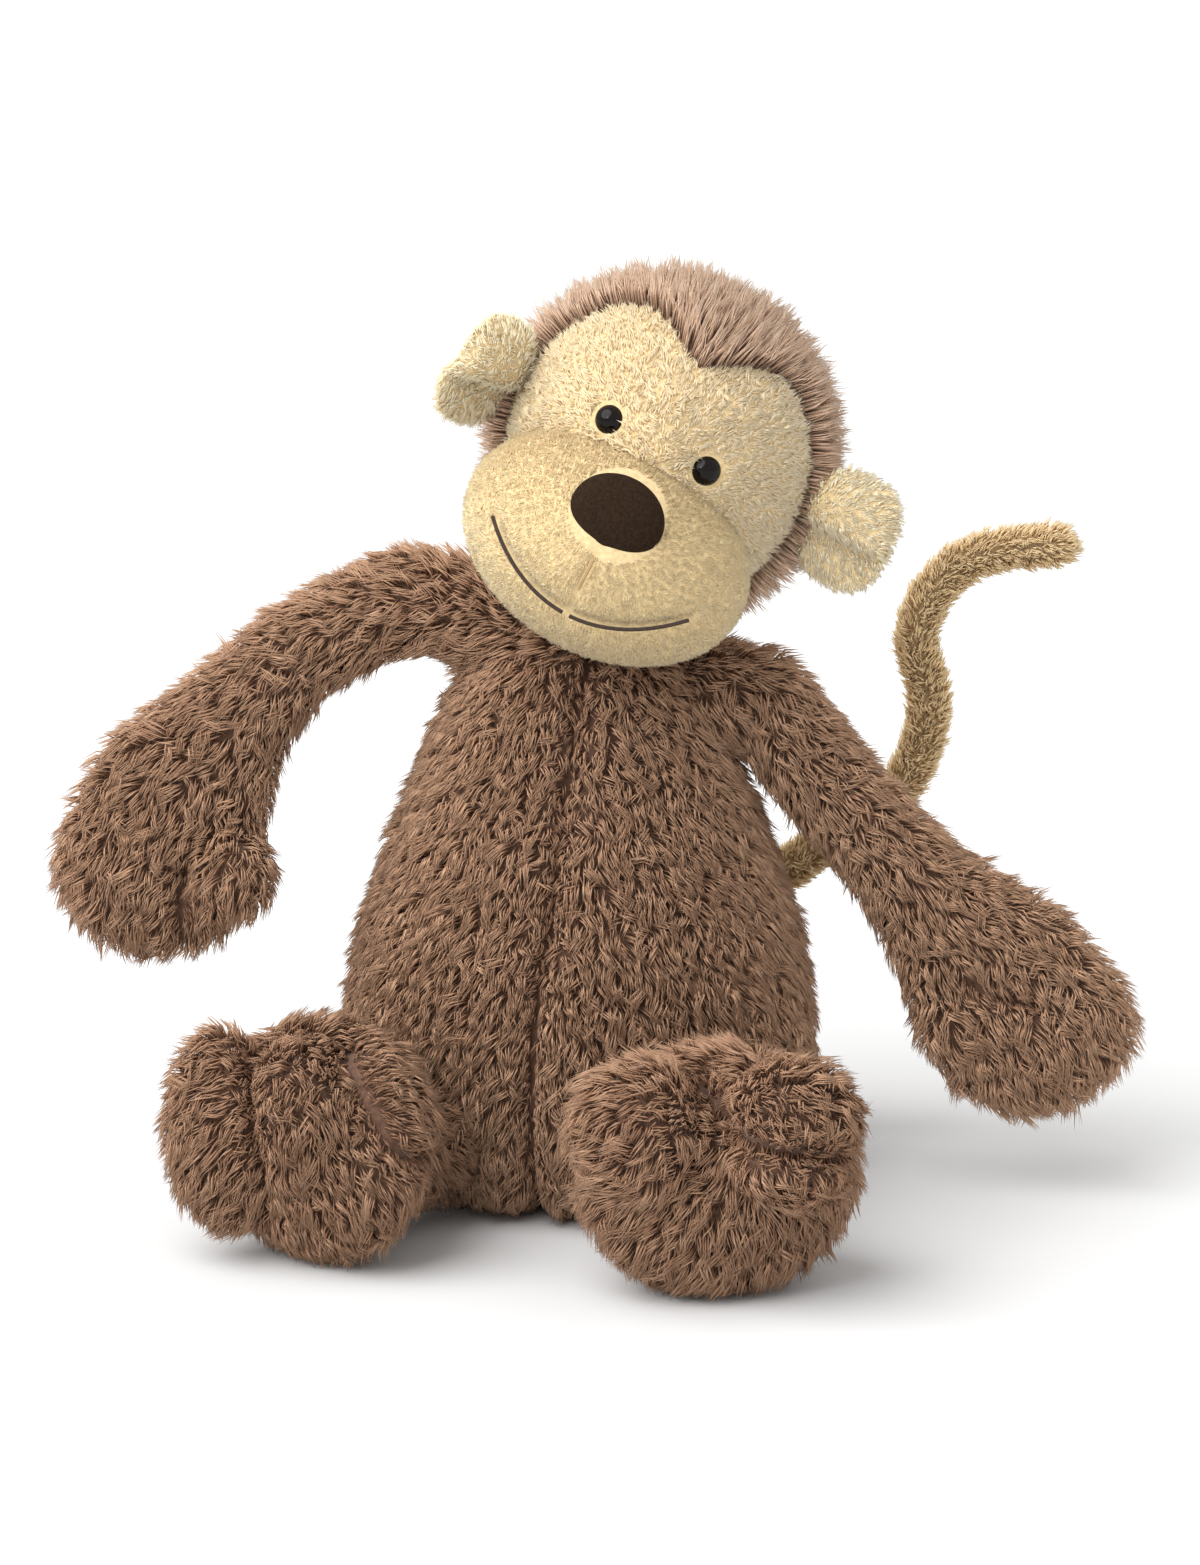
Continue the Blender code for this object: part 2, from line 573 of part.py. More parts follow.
def make_all():
    make_body()
    neck = add_pivot("neck", NECK)
    turns = np.linspace(0, math.tau, 18, endpoint=False)
    ring = [(NECK_THREAD_RADIUS * math.cos(t), NECK_THREAD_RADIUS * math.sin(t), 0) for t in turns]
    add_thread("neck_thread", ring, NECK_THREAD_THICKNESS, neck, closed=True)
    tilt = add_pivot("head_tilt", (0, 0, 0), neck, (0, HEAD_TILT, 0))
    head = add_pivot("head_yaw", (0, 0, 0), tilt, (0, 0, HEAD_YAW))
    face, filling = make_head(head)
    make_nose(head)
    make_mouth(head)
    for name, side in (("left", LEFT), ("right", RIGHT)):
        make_eye(name, side, head, face, filling)
        make_ear(name, side, head)
        make_leg(name, side)
    make_arm("left", LOWERED_ARM)
    make_arm("right", RAISED_ARM)
    make_tail()


clear_scene()
make_materials()
make_all()
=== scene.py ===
# %% [markdown]
# # A stuffed monkey
# The toy is a sewn plush skin over loose stuffing. Its parts are already designed and packed, so this
# script only gives them their looks: a smooth skin for each stuffed part, and the pile that grows out of
# that skin.

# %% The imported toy
import json
import math

import bmesh
import bpy
import numpy as np
from mathutils import Matrix, Vector
from mathutils.bvhtree import BVHTree
from mathutils.kdtree import KDTree


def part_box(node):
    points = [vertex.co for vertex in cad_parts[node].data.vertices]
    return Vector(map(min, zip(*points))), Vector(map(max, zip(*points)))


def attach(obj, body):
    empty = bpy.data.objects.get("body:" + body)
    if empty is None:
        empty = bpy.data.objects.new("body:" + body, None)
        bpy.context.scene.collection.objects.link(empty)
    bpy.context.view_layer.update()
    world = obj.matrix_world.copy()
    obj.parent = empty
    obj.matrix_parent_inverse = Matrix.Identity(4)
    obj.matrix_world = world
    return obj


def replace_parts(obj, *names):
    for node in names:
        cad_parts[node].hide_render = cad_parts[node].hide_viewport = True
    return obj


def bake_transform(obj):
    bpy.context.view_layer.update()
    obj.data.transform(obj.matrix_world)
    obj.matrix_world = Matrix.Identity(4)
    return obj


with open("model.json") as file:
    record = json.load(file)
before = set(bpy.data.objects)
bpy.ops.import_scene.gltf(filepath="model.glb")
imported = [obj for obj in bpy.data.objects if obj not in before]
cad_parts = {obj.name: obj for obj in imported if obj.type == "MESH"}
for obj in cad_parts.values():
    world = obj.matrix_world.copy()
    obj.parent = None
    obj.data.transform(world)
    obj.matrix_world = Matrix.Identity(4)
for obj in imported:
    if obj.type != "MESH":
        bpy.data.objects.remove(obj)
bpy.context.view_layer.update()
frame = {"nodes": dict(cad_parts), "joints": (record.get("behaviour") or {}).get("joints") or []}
random = np.random.default_rng(7)
MM = 0.001

# %% [markdown]
# ## Camera
# The toy is looked at from a little above and from a little to its own left. A long lens from more than a
# metre away keeps the feet, which point at the camera, from growing too large.

# %% Camera
VIEW_TURN, VIEW_RISE, VIEW_DISTANCE = math.radians(10), math.radians(12), 1.3
AIM = Vector((0.0049, 0.0009, 0.1030))
VIEW_WIDTH = 0.300  # what the picture spans where the camera aims

lens = bpy.data.cameras.new("camera")
lens.sensor_fit, lens.sensor_width = "HORIZONTAL", 36
lens.lens = lens.sensor_width * VIEW_DISTANCE / VIEW_WIDTH
camera = bpy.data.objects.new("camera", lens)
level = math.cos(VIEW_RISE)
back = Vector((math.sin(VIEW_TURN) * level, -math.cos(VIEW_TURN) * level, math.sin(VIEW_RISE)))
camera.location = AIM + VIEW_DISTANCE * back
camera.rotation_euler = back.to_track_quat("Z", "Y").to_euler()
bpy.context.scene.collection.objects.link(camera)
bpy.context.scene.camera = camera
print("lens", round(lens.lens), "mm")

# %% [markdown]
# ## Light and floor
# A white sweep under one large soft light from high on the left, which leaves a faint shadow on the right
# and behind. A bright sky fills the pile from all round, and the two together light the paper to just
# white. A small lamp near the camera only gives the eyes their glint.

# %% Light and floor
SKY, KEY, KEY_SPREAD, KEY_FROM = 0.88, 3.3, math.radians(65), Vector((-0.62, -0.62, 1.0))
GLINT_SIZE, GLINT_POWER, GLINT_PLACE, GLINT_AIM = 0.22, 1.2, Vector((-0.35, -1.1, 0.75)), Vector((0, 0, 0.17))
PAPER_TONE, FLOOR_HALF = 0.70, 8.0

key_data = bpy.data.lights.new("key", "SUN")
key_data.energy, key_data.angle = KEY, KEY_SPREAD
key = bpy.data.objects.new("key", key_data)
key.rotation_euler = KEY_FROM.to_track_quat("Z", "Y").to_euler()
bpy.context.scene.collection.objects.link(key)
glint_data = bpy.data.lights.new("glint", "AREA")
glint_data.shape, glint_data.size, glint_data.energy = "DISK", GLINT_SIZE, GLINT_POWER
glint = bpy.data.objects.new("glint", glint_data)
glint.location = GLINT_PLACE
glint.rotation_euler = (GLINT_PLACE - GLINT_AIM).to_track_quat("Z", "Y").to_euler()
bpy.context.scene.collection.objects.link(glint)

world = bpy.data.worlds.new("studio")
world.use_nodes = True
world.node_tree.nodes["Background"].inputs["Color"].default_value = (1, 1, 1, 1)
world.node_tree.nodes["Background"].inputs["Strength"].default_value = SKY
bpy.context.scene.world = world
bpy.context.scene.view_settings.view_transform = "Standard"


def floor():
    """A wide sheet of white paper under the toy."""
    mesh = bpy.data.meshes.new("floor")
    corners = [(x * FLOOR_HALF, y * FLOOR_HALF, 0) for x, y in ((-1, -1), (1, -1), (1, 1), (-1, 1))]
    mesh.from_pydata(corners, [], [(0, 1, 2, 3)])
    paper = bpy.data.materials.new("floor_paper")
    paper.use_nodes = True
    shader = paper.node_tree.nodes["Principled BSDF"]
    shader.inputs["Base Color"].default_value = (PAPER_TONE, PAPER_TONE, PAPER_TONE, 1)
    shader.inputs["Roughness"].default_value = 1.0
    shader.inputs["Specular IOR Level"].default_value = 0.0
    mesh.materials.append(paper)
    made = bpy.data.objects.new("floor", mesh)
    bpy.context.scene.collection.objects.link(made)


floor()

# %% [markdown]
# ## Cloth and thread materials
# Under the pile lies a knitted backing, which shows as dark gaps between the locks. Its colour is broken up
# by fine noise and a bump the size of a stitch. The pile itself takes its colours from rows of plain tones,
# which the strands share out between them: one row for each dye lot, and for the crown a row painted paler,
# as the light on the top of the head.

# %% Materials with a pattern
def shader_of(material):
    return material.node_tree.nodes["Principled BSDF"]


TONE_EDGES = (0.3, 0.7)  # where the noise turns fully dark and fully light
STITCH_RELIEF = 0.4 * MM


def cloth(name, dark, light, scale, roughness=0.95, bump=0.4, sheen=0.3):
    """A woven or napped cloth: two tones mixed by fine noise, with a bump from the same noise."""
    made = bpy.data.materials.new(name)
    made.use_nodes = True
    nodes, links = made.node_tree.nodes, made.node_tree.links
    place = nodes.new("ShaderNodeTexCoord")
    fine = nodes.new("ShaderNodeTexNoise")
    fine.inputs["Scale"].default_value = scale
    fine.inputs["Detail"].default_value = 6
    tones = nodes.new("ShaderNodeValToRGB")
    for element, edge, colour in zip(tones.color_ramp.elements, TONE_EDGES, (dark, light)):
        element.position, element.color = edge, (*colour, 1)
    relief = nodes.new("ShaderNodeBump")
    relief.inputs["Strength"].default_value = bump
    relief.inputs["Distance"].default_value = STITCH_RELIEF
    links.new(place.outputs["Object"], fine.inputs["Vector"])
    links.new(fine.outputs["Fac"], tones.inputs["Fac"])
    links.new(fine.outputs["Fac"], relief.inputs["Height"])
    links.new(tones.outputs["Color"], shader_of(made).inputs["Base Color"])
    links.new(relief.outputs["Normal"], shader_of(made).inputs["Normal"])
    shader_of(made).inputs["Roughness"].default_value = roughness
    shader_of(made).inputs["Sheen Weight"].default_value = sheen
    return made


def pile_shades(name, darkest, lightest, count, sheen):
    """The tones that dyed fibres take, from the root in painted shade to the tip, which is partly bleached
    and partly painted light.
    """
    shades = []
    for step in range(count):
        share = step / (count - 1)
        colour = [a + (b - a) * share for a, b in zip(darkest, lightest)]
        made = bpy.data.materials.new(f"{name}_{step}")
        made.use_nodes = True
        shader = shader_of(made)
        shader.inputs["Base Color"].default_value = (*colour, 1)
        shader.inputs["Roughness"].default_value = 0.8
        shader.inputs["Specular IOR Level"].default_value = 0.25
        shader.inputs["Sheen Weight"].default_value = sheen
        shader.inputs["Sheen Roughness"].default_value = 0.4
        shader.inputs["Sheen Tint"].default_value = (*[min(1, 1.6 * c + 0.1) for c in colour], 1)
        shades.append(made)
    return shades


brown_backing = cloth("brown_backing", (0.09, 0.042, 0.025), (0.17, 0.088, 0.052), 900)
cream_backing = cloth("cream_backing", (0.60, 0.44, 0.22), (0.78, 0.61, 0.34), 900)
tail_backing = cloth("tail_backing", (0.36, 0.25, 0.13), (0.54, 0.39, 0.22), 900)
suede = cloth("nose_suede", (0.015, 0.008, 0.004), (0.032, 0.018, 0.010), 1400, bump=0.5, sheen=0.0)
shader_of(suede).inputs["Specular IOR Level"].default_value = 0.1
brown_pile = pile_shades("brown_pile", (0.285, 0.155, 0.092), (0.560, 0.352, 0.224), 7, 0.22)
# The crown's row is painted paler, as the light falling on the top of the head.
crown_pile_painted_light = pile_shades("crown_pile_painted_light", (0.420, 0.262, 0.175), (0.760, 0.555, 0.405), 7, 0.30)
cream_pile = pile_shades("cream_pile", (0.770, 0.600, 0.355), (0.970, 0.830, 0.585), 7, 0.22)
muzzle_pile = pile_shades("muzzle_pile", (0.600, 0.450, 0.245), (0.935, 0.770, 0.480), 9, 0.22)
ear_pile = pile_shades("ear_pile", (0.720, 0.560, 0.310), (0.980, 0.880, 0.650), 6, 0.25)
tail_pile = pile_shades("tail_pile", (0.680, 0.460, 0.240), (0.970, 0.770, 0.470), 6, 0.25)
print("materials:", len(bpy.data.materials))

# %% [markdown]
# ## Stuffed skins
# Each stuffed part is sewn from panels and blown up by its stuffing, so from outside it is one smooth bag.
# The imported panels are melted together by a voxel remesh, which closes their seams, and then smoothed. A
# seam or a fold that shows on the toy is pinched in afterwards.

# %% Melting panels into one skin
def melted(name, nodes, voxel, smooth=8, extra=(), inset=0.0, creases=()):
    """One closed skin round the given packed panels and any extra (centre, semi axes) lumps, drawn in by
    inset to leave room for the pile, and pinched along its creases."""
    points, faces = [], []
    for node in nodes:
        mesh = frame["nodes"][node].data
        start = len(points)
        points += [tuple(v.co) for v in mesh.vertices]
        faces += [tuple(start + i for i in face.vertices) for face in mesh.polygons]
    mesh = bpy.data.meshes.new(name)
    mesh.from_pydata(points, [], faces)
    skin = bpy.data.objects.new(name, mesh)
    bpy.context.scene.collection.objects.link(skin)
    for centre, semi in extra:
        add_lump(skin, centre, semi)
    remesh = skin.modifiers.new("melt", "REMESH")
    remesh.mode, remesh.voxel_size = "VOXEL", voxel
    relax = skin.modifiers.new("relax", "SMOOTH")
    relax.factor, relax.iterations = 0.5, smooth
    bpy.context.view_layer.update()
    final = bpy.data.meshes.new_from_object(skin.evaluated_get(bpy.context.evaluated_depsgraph_get()))
    skin.modifiers.clear()
    skin.data = outer_shell(final)
    skin.data.shade_smooth()
    points, normals, _ = skin_arrays(skin)
    points = points - inset * normals
    for path, width, depth, middle in creases:
        points = pinched(points, path, width, depth, middle)
    skin.data.vertices.foreach_set("co", points.ravel())
    skin.data.update()
    return skin


def skin_arrays(skin):
    """A skin's points, its normals there, and the corners of its triangles."""
    mesh = skin.data
    mesh.calc_loop_triangles()
    points = np.empty(len(mesh.vertices) * 3)
    mesh.vertices.foreach_get("co", points)
    normals = np.empty(len(mesh.vertices) * 3)
    mesh.vertices.foreach_get("normal", normals)
    corners = np.empty(len(mesh.loop_triangles) * 3, np.int32)
    mesh.loop_triangles.foreach_get("vertices", corners)
    return points.reshape(-1, 3), normals.reshape(-1, 3), corners.reshape(-1, 3)


def unit(vectors):
    return vectors / np.maximum(np.linalg.norm(vectors, axis=-1, keepdims=True), 1e-12)


def distance_to(points, path):
    """Distance, seen from the front, from each point to a path given as (x, z) in mm."""
    points, path, nearest = points[:, (0, 2)], np.array(path) * MM, np.full(len(points), 1.0)
    for a, b in zip(path, path[1:]):
        share = np.clip(((points - a) @ (b - a)) / ((b - a) @ (b - a)), 0, 1)
        nearest = np.minimum(nearest, np.linalg.norm(points - a - share[:, None] * (b - a), axis=1))
    return nearest


def pinched(points, path, width, depth, middle):
    """Points in front of a middle, given in mm, drawn towards it near a path, as where cloth folds."""
    middle = np.array(middle) * MM
    pull = depth * np.exp(-((distance_to(points, path) / width) ** 2)) * (points[:, 1] < middle[1])
    return points + pull[:, None] * unit(middle - points)


def add_lump(skin, centre, semi):
    """Adds a rounded lump to a skin before it is melted, as where a limb is sewn in."""
    shape = bmesh.new()
    shape.from_mesh(skin.data)
    place = Matrix.Translation(centre) @ Matrix.Diagonal((*semi, 1))
    bmesh.ops.create_icosphere(shape, subdivisions=3, radius=1, matrix=place)
    shape.to_mesh(skin.data)
    shape.free()


def outer_shell(mesh):
    """The mesh without the closed hollows inside it: only its largest connected surface."""
    edges = np.empty(len(mesh.edges) * 2, np.int32)
    mesh.edges.foreach_get("vertices", edges)
    edges = edges.reshape(-1, 2)
    label = np.arange(len(mesh.vertices))
    while True:
        low = np.minimum(label[edges[:, 0]], label[edges[:, 1]])
        new = label.copy()
        np.minimum.at(new, edges[:, 0], low)
        np.minimum.at(new, edges[:, 1], low)
        new = new[new]
        if (new == label).all():
            break
        label = new
    keep = label == np.bincount(label).argmax()
    number = np.cumsum(keep) - 1
    points = np.empty(len(mesh.vertices) * 3)
    mesh.vertices.foreach_get("co", points)
    faces = [tuple(number[list(f.vertices)]) for f in mesh.polygons if keep[f.vertices[0]]]
    shell = bpy.data.meshes.new(mesh.name)
    shell.from_pydata(points.reshape(-1, 3)[keep], [], faces)
    return shell


TORSO_VOXEL, TORSO_INSET = 1.3 * MM, 1.2 * MM
TORSO = ["body_back_left", "body_back_right", "body_front_left", "body_front_right", "seat_base",
         "seat_bean_bag", "body_filling"]
BODY_SEAM = [(5, 142), (3.5, 125), (1.5, 100), (0, 75), (-3, 50), (-4, 20), (-4, 0)]
CREASES = {"torso": [(BODY_SEAM, 2.8 * MM, 3.8 * MM, (0, 0, 70))]}
torso_skin = melted("torso_skin", TORSO, TORSO_VOXEL, inset=TORSO_INSET, creases=CREASES["torso"])
print("torso skin:", len(torso_skin.data.vertices), "points")

# %% [markdown]
# ## Limbs and their roots
# An arm or a leg is sewn flat into the body, so its cloth runs on into the body's cloth. A lump at the root
# of each limb carries its skin into the body.

# %% Limb skins
joints = {joint["name"]: joint for joint in frame["joints"]}


def pivot(joint):
    """The point that a joint turns about."""
    return np.array(joints[joint]["pos_m"])


def limb_nodes(limb, side):
    """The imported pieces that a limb's skin stands for."""
    if limb == "arm":
        return [f"arm_{layer}_{side}" for layer in ("front", "back", "filling")]
    covers = [f"leg_{layer}_{side}" for layer in ("inner", "outer", "filling")]
    return covers + [f"sole_{side}", f"foot_bean_bag_{side}"]


# Lumps, as (centre, semi axes) in mm, carry each limb into the body and shape its thumb or its toes.
LUMPS = {
    "arm_left": [((34, 3, 126), (16, 13, 13)), ((94, 5, 45), (9, 9, 11))],
    "arm_right": [((-22, -2, 143), (17, 13, 12)), ((-40, -6, 151), (16, 11, 10.5)),
                  ((-81, -34, 84), (10, 8.5, 11)), ((-112, -33, 80), (11, 8.5, 13))],
    "leg_left": [((34, -42, 20), (16, 16, 15)), ((32, -99, 42), (16, 16, 16)), ((68, -99, 43), (16, 16, 17))],
    "leg_right": [((-34, -42, 20), (16, 16, 15)), ((-70, -82, 33), (15.5, 13, 25)),
                  ((-53, -86, 37), (15.5, 14, 18))],
}
# Creases, as (path, width, depth, middle), fold the hands and the soles.
CREASES |= {
    "arm_left": [([(97, 58), (104, 54), (114, 51)], 2.6 * MM, 2.5 * MM, (108, 8, 50))],
    "arm_right": [([(-94, 60), (-94, 74), (-92, 86)], 3.0 * MM, 3.5 * MM, (-94, -33, 84))],
    "leg_left": [([(47, 72), (46, 62), (45, 50), (54, 45), (68, 42), (78, 40)], 3.4 * MM, 6.5 * MM,
                  (54, -88, 34))],
    "leg_right": [([(-67, 66), (-66, 57), (-64, 48), (-62, 38), (-60, 28)], 3.2 * MM, 6.0 * MM,
                   (-58, -74, 32)),
                  ([(-46, 57), (-36, 44), (-26, 29)], 3.5 * MM, 3.5 * MM, (-52, -74, 32))],
}
LIMB_VOXEL, LIMB_INSET = 1.25 * MM, 2.0 * MM
limb_skins = {}
for side in ("left", "right"):
    for limb in ("arm", "leg"):
        name = f"{limb}_{side}"
        lumps = [(np.array(centre) * MM, np.array(semi) * MM) for centre, semi in LUMPS[name]]
        limb_skins[name] = melted(f"{name}_skin", limb_nodes(limb, side), LIMB_VOXEL, 9, lumps, LIMB_INSET,
                                  CREASES[name])
tail_root = [(np.array((12, 46, 43.5)) * MM, np.array((5, 6, 5)) * MM)]
tail_skin = melted("tail_skin", ["tail_cover", "tail_filling"], 0.7 * MM, 4, tail_root, 0.8 * MM)
print("limb skins:", {name: len(skin.data.vertices) for name, skin in limb_skins.items()})

# %% [markdown]
# ## Head
# The head leans to the toy's left. It is easiest to shape upright, in its own frame, and then to lean it
# over with one matrix whose centre is the gathered neck. The skull is one bag, brown behind and cream in
# front, and the muzzle is a second bag sewn onto it.

# %% The head's own frame
HEAD_LEAN, HEAD_YAW = math.radians(27), math.radians(2)
neck_point = Vector(pivot("head_tilt"))
HEAD = Matrix.Translation(neck_point) @ Matrix.Rotation(HEAD_LEAN, 4, "Y") @ Matrix.Rotation(HEAD_YAW, 4, "Z")
HEAD_ARRAY = np.array(HEAD)
SKULL_CENTRE, SKULL_SEMI = np.array((0, 0, 46)) * MM, np.array((38, 35, 39)) * MM
MUZZLE_CENTRE, MUZZLE_SEMI = np.array((0, -26, 23.7)) * MM, np.array((36, 28.5, 25.8)) * MM
HEAD_CORE = np.array((0, -14, 38.5)) * MM  # the hairline is drawn round this point
SMILE_HALF_WIDTH, SMILE_LOW, SMILE_RISE, SMILE_REACH = 26.4 * MM, 10.5 * MM, 11.5 * MM, 27 * MM
SMILE_DENT_WIDTH, SMILE_DENT = 2.2 * MM, 1.5 * MM
PLEAT_DENT_WIDTH, PLEAT_DENT, PLEAT_HEIGHT, PLEAT_HALF_LENGTH = 1.8 * MM, 1.3 * MM, 20 * MM, 8 * MM
FACE_REACH, BROW_DIP, BROW_WIDTH = math.radians(96), math.radians(24), math.radians(19)


def to_head(points):
    """Points of the row frame, seen in the head's own frame."""
    return (points - np.array(neck_point)) @ HEAD_ARRAY[:3, :3]


def from_head(points):
    """Points of the head's own frame, put back in the row frame."""
    return points @ HEAD_ARRAY[:3, :3].T + np.array(neck_point)


def smile_height(x):
    """Height of the stitched smile on the muzzle, which turns up towards its corners."""
    return SMILE_LOW + SMILE_RISE * (x / SMILE_HALF_WIDTH) ** 2


def bag(name, centre, semi, shape=None, fineness=7):
    """A stuffed bag round a centre, its surface moved by shape(points), in the head's frame."""
    ball = bmesh.new()
    bmesh.ops.create_icosphere(ball, subdivisions=fineness, radius=1)
    mesh = bpy.data.meshes.new(name)
    ball.to_mesh(mesh)
    ball.free()
    points = np.empty(len(mesh.vertices) * 3)
    mesh.vertices.foreach_get("co", points)
    points = points.reshape(-1, 3) * semi + centre
    if shape:
        points = shape(points)
    mesh.vertices.foreach_set("co", from_head(points).ravel())
    mesh.shade_smooth()
    made = bpy.data.objects.new(name, mesh)
    bpy.context.scene.collection.objects.link(made)
    return made


def dent(distance, width, depth):
    """A smooth hollow, deepest where the distance is nought."""
    return depth * np.exp(-((distance / width) ** 2))


def muzzle_shape(points):
    """Pulls the muzzle in along its smile and along the pleat under the nose."""
    x, z = points[:, 0], points[:, 2]
    inwards = (MUZZLE_CENTRE - points) / np.linalg.norm(MUZZLE_CENTRE - points, axis=1)[:, None]
    in_front = points[:, 1] < MUZZLE_CENTRE[1] - 6 * MM
    on_smile = (np.abs(x) < SMILE_REACH) & in_front
    smile = dent(z - smile_height(x), SMILE_DENT_WIDTH, SMILE_DENT) * on_smile
    pleat = dent(x, PLEAT_DENT_WIDTH, PLEAT_DENT) * dent(z - PLEAT_HEIGHT, PLEAT_HALF_LENGTH, 1) * in_front
    return points + inwards * (smile + pleat)[:, None]


skull_skin = bag("skull_skin", SKULL_CENTRE, SKULL_SEMI)
muzzle_skin = bag("muzzle_skin", MUZZLE_CENTRE, MUZZLE_SEMI, muzzle_shape)


def face_edge(azimuth):
    """Angle from straight ahead at which the cream face ends, with its dip over the brow."""
    return FACE_REACH - dent(azimuth, BROW_WIDTH, BROW_DIP)


def on_face(points):
    """True where a point of the skull is covered by the cream face and not by the brown cap."""
    away = to_head(points) - HEAD_CORE
    polar = np.arctan2(np.hypot(away[:, 0], away[:, 2]), -away[:, 1])
    return polar < face_edge(np.arctan2(away[:, 0], away[:, 2]))


def face_centres(mesh):
    centres = np.empty(len(mesh.polygons) * 3)
    mesh.polygons.foreach_get("center", centres)
    return centres.reshape(-1, 3)


for material in (brown_backing, cream_backing):
    skull_skin.data.materials.append(material)
cream_faces = on_face(face_centres(skull_skin.data)).astype(np.int32)
skull_skin.data.polygons.foreach_set("material_index", cream_faces)
muzzle_skin.data.materials.append(cream_backing)
print("head bags:", len(skull_skin.data.polygons), len(muzzle_skin.data.polygons), "faces")

# %% [markdown]
# ## Growing the pile
# Real pile is thousands of fibres that lean one way and cling together in locks. Here each strand is a thin
# three-sided spike. It stands up at its root, bends over along the comb, and its tip is drawn to the tip of
# the lock it belongs to. Each lock has its own turn, length and tone. Each strand is painted darker at its
# root, as shade deep in the pile, and paler at its tip, which is partly bleached fibre and partly painted
# light. The tones are a row of plain materials, because a pattern laid over so many separate spikes couldn't
# be unwrapped.

# %% Scattering roots
TRIES = 3  # random points for each one that is kept
CELL_STEPS = np.array((1, 4096, 4096**2))  # turn a cell's three numbers into one


def cells_of(points, size):
    """The number of the cube that each point falls in, when space is cut into cubes of this size."""
    return np.floor(points / size).astype(np.int64) @ CELL_STEPS


def scattered(skin, spacing):
    """Random points on a skin about one spacing apart, and the skin's normals there."""
    points, normals, corners = skin_arrays(skin)
    a, b, c = (points[corners[:, k]] for k in range(3))
    area = np.linalg.norm(np.cross(b - a, c - a), axis=1) / 2
    wanted = int(TRIES * area.sum() / spacing**2)
    picked = random.choice(len(area), wanted, p=area / area.sum())
    u, v = random.random((2, wanted))
    u, v = np.where(u + v > 1, 1 - u, u), np.where(u + v > 1, 1 - v, v)
    weights = np.stack((1 - u - v, u, v), axis=1)[:, :, None]
    where = (points[corners[picked]] * weights).sum(axis=1)
    _, first = np.unique(cells_of(where, spacing), return_index=True)
    first = np.sort(first)
    return where[first], unit((normals[corners[picked[first]]] * weights[first]).sum(axis=1))


# %% Building the strands
def spin_about(vectors, axes, angles):
    """Each vector turned about its own axis."""
    cos, sin = np.cos(angles)[:, None], np.sin(angles)[:, None]
    along = (vectors * axes).sum(axis=1, keepdims=True)
    return vectors * cos + np.cross(axes, vectors) * sin + axes * along * (1 - cos)


def ring(centre, ahead, normals, radius):
    """Three points round each centre, square to the way ahead."""
    across = unit(np.cross(ahead, normals))
    above = np.cross(across, ahead)
    angles = np.radians((90, 210, 330))
    return np.stack([centre + radius * (math.cos(a) * across + math.sin(a) * above) for a in angles], axis=1)


FLOOR_CLEARANCE = 0.3 * MM


def strands_mesh(name, rings, tips, tones, materials):
    """Three-sided spikes through the given rings of three points, each ending in its tip."""
    count, layers = len(tips), len(rings)
    points = np.concatenate([ring.reshape(-1, 3) for ring in rings] + [tips])
    points[:, 2] = np.maximum(points[:, 2], FLOOR_CLEARANCE + 0.2 * MM * random.random(len(points)))
    base = np.arange(count)[:, None] * 3 + np.arange(3)
    after = np.roll(base, -1, axis=1)
    tris = [np.stack((base[:, 0], base[:, 2], base[:, 1]), axis=1)[:, None]]
    for layer in range(layers - 1):
        low, high = layer * 3 * count, (layer + 1) * 3 * count
        tris.append(np.stack((base + low, after + low, after + high), axis=2))
        tris.append(np.stack((base + low, after + high, base + high), axis=2))
    low, tip = (layers - 1) * 3 * count, layers * 3 * count + np.arange(count)
    tris.append(np.stack((base + low, after + low, np.repeat(tip[:, None], 3, axis=1)), axis=2))
    lower = 0 if layers > 1 else 1  # a spike without a bend takes its tip's tone all over
    ends = [np.repeat(tones[:, lower], part.shape[1]) for part in tris[:-1]] + [np.repeat(tones[:, 1], 3)]
    tone = np.concatenate(ends)
    corners = np.concatenate([part.reshape(-1, 3) for part in tris])
    mesh = bpy.data.meshes.new(name)
    mesh.vertices.add(len(points))
    mesh.vertices.foreach_set("co", points.ravel())
    mesh.loops.add(corners.size)
    mesh.loops.foreach_set("vertex_index", corners.ravel().astype(np.int32))
    mesh.polygons.add(len(corners))
    mesh.polygons.foreach_set("loop_start", np.arange(0, corners.size, 3, dtype=np.int32))
    for material in materials:
        mesh.materials.append(material)
    mesh.polygons.foreach_set("material_index", tone.astype(np.int32))
    mesh.update(calc_edges=True)
    mesh.shade_smooth()
    made = bpy.data.objects.new(name, mesh)
    bpy.context.scene.collection.objects.link(made)
    return made


LENGTH_SPREAD, LEAN_SPREAD = (0.14, 0.10), (0.12, 0.08)  # of locks, and of the strands in them
THICKNESS_SPREAD, TONE_SPREAD = 0.15, 0.55
BEND_AT, BEND_CLING = 0.45, 0.35  # place of a strand's bend, and how far it gathers beside its tip
# Painted shade darkens each strand's root deep in the pile; its tip is paler, partly bleached fibre and
# partly painted light.
ROOT_PAINTED_SHADE, TIP_BLEACH_AND_PAINTED_LIGHT = -1.2, 0.5  # tones that the root and the tip differ by from the middle
ROOT_DEPTH = 0.3 * MM


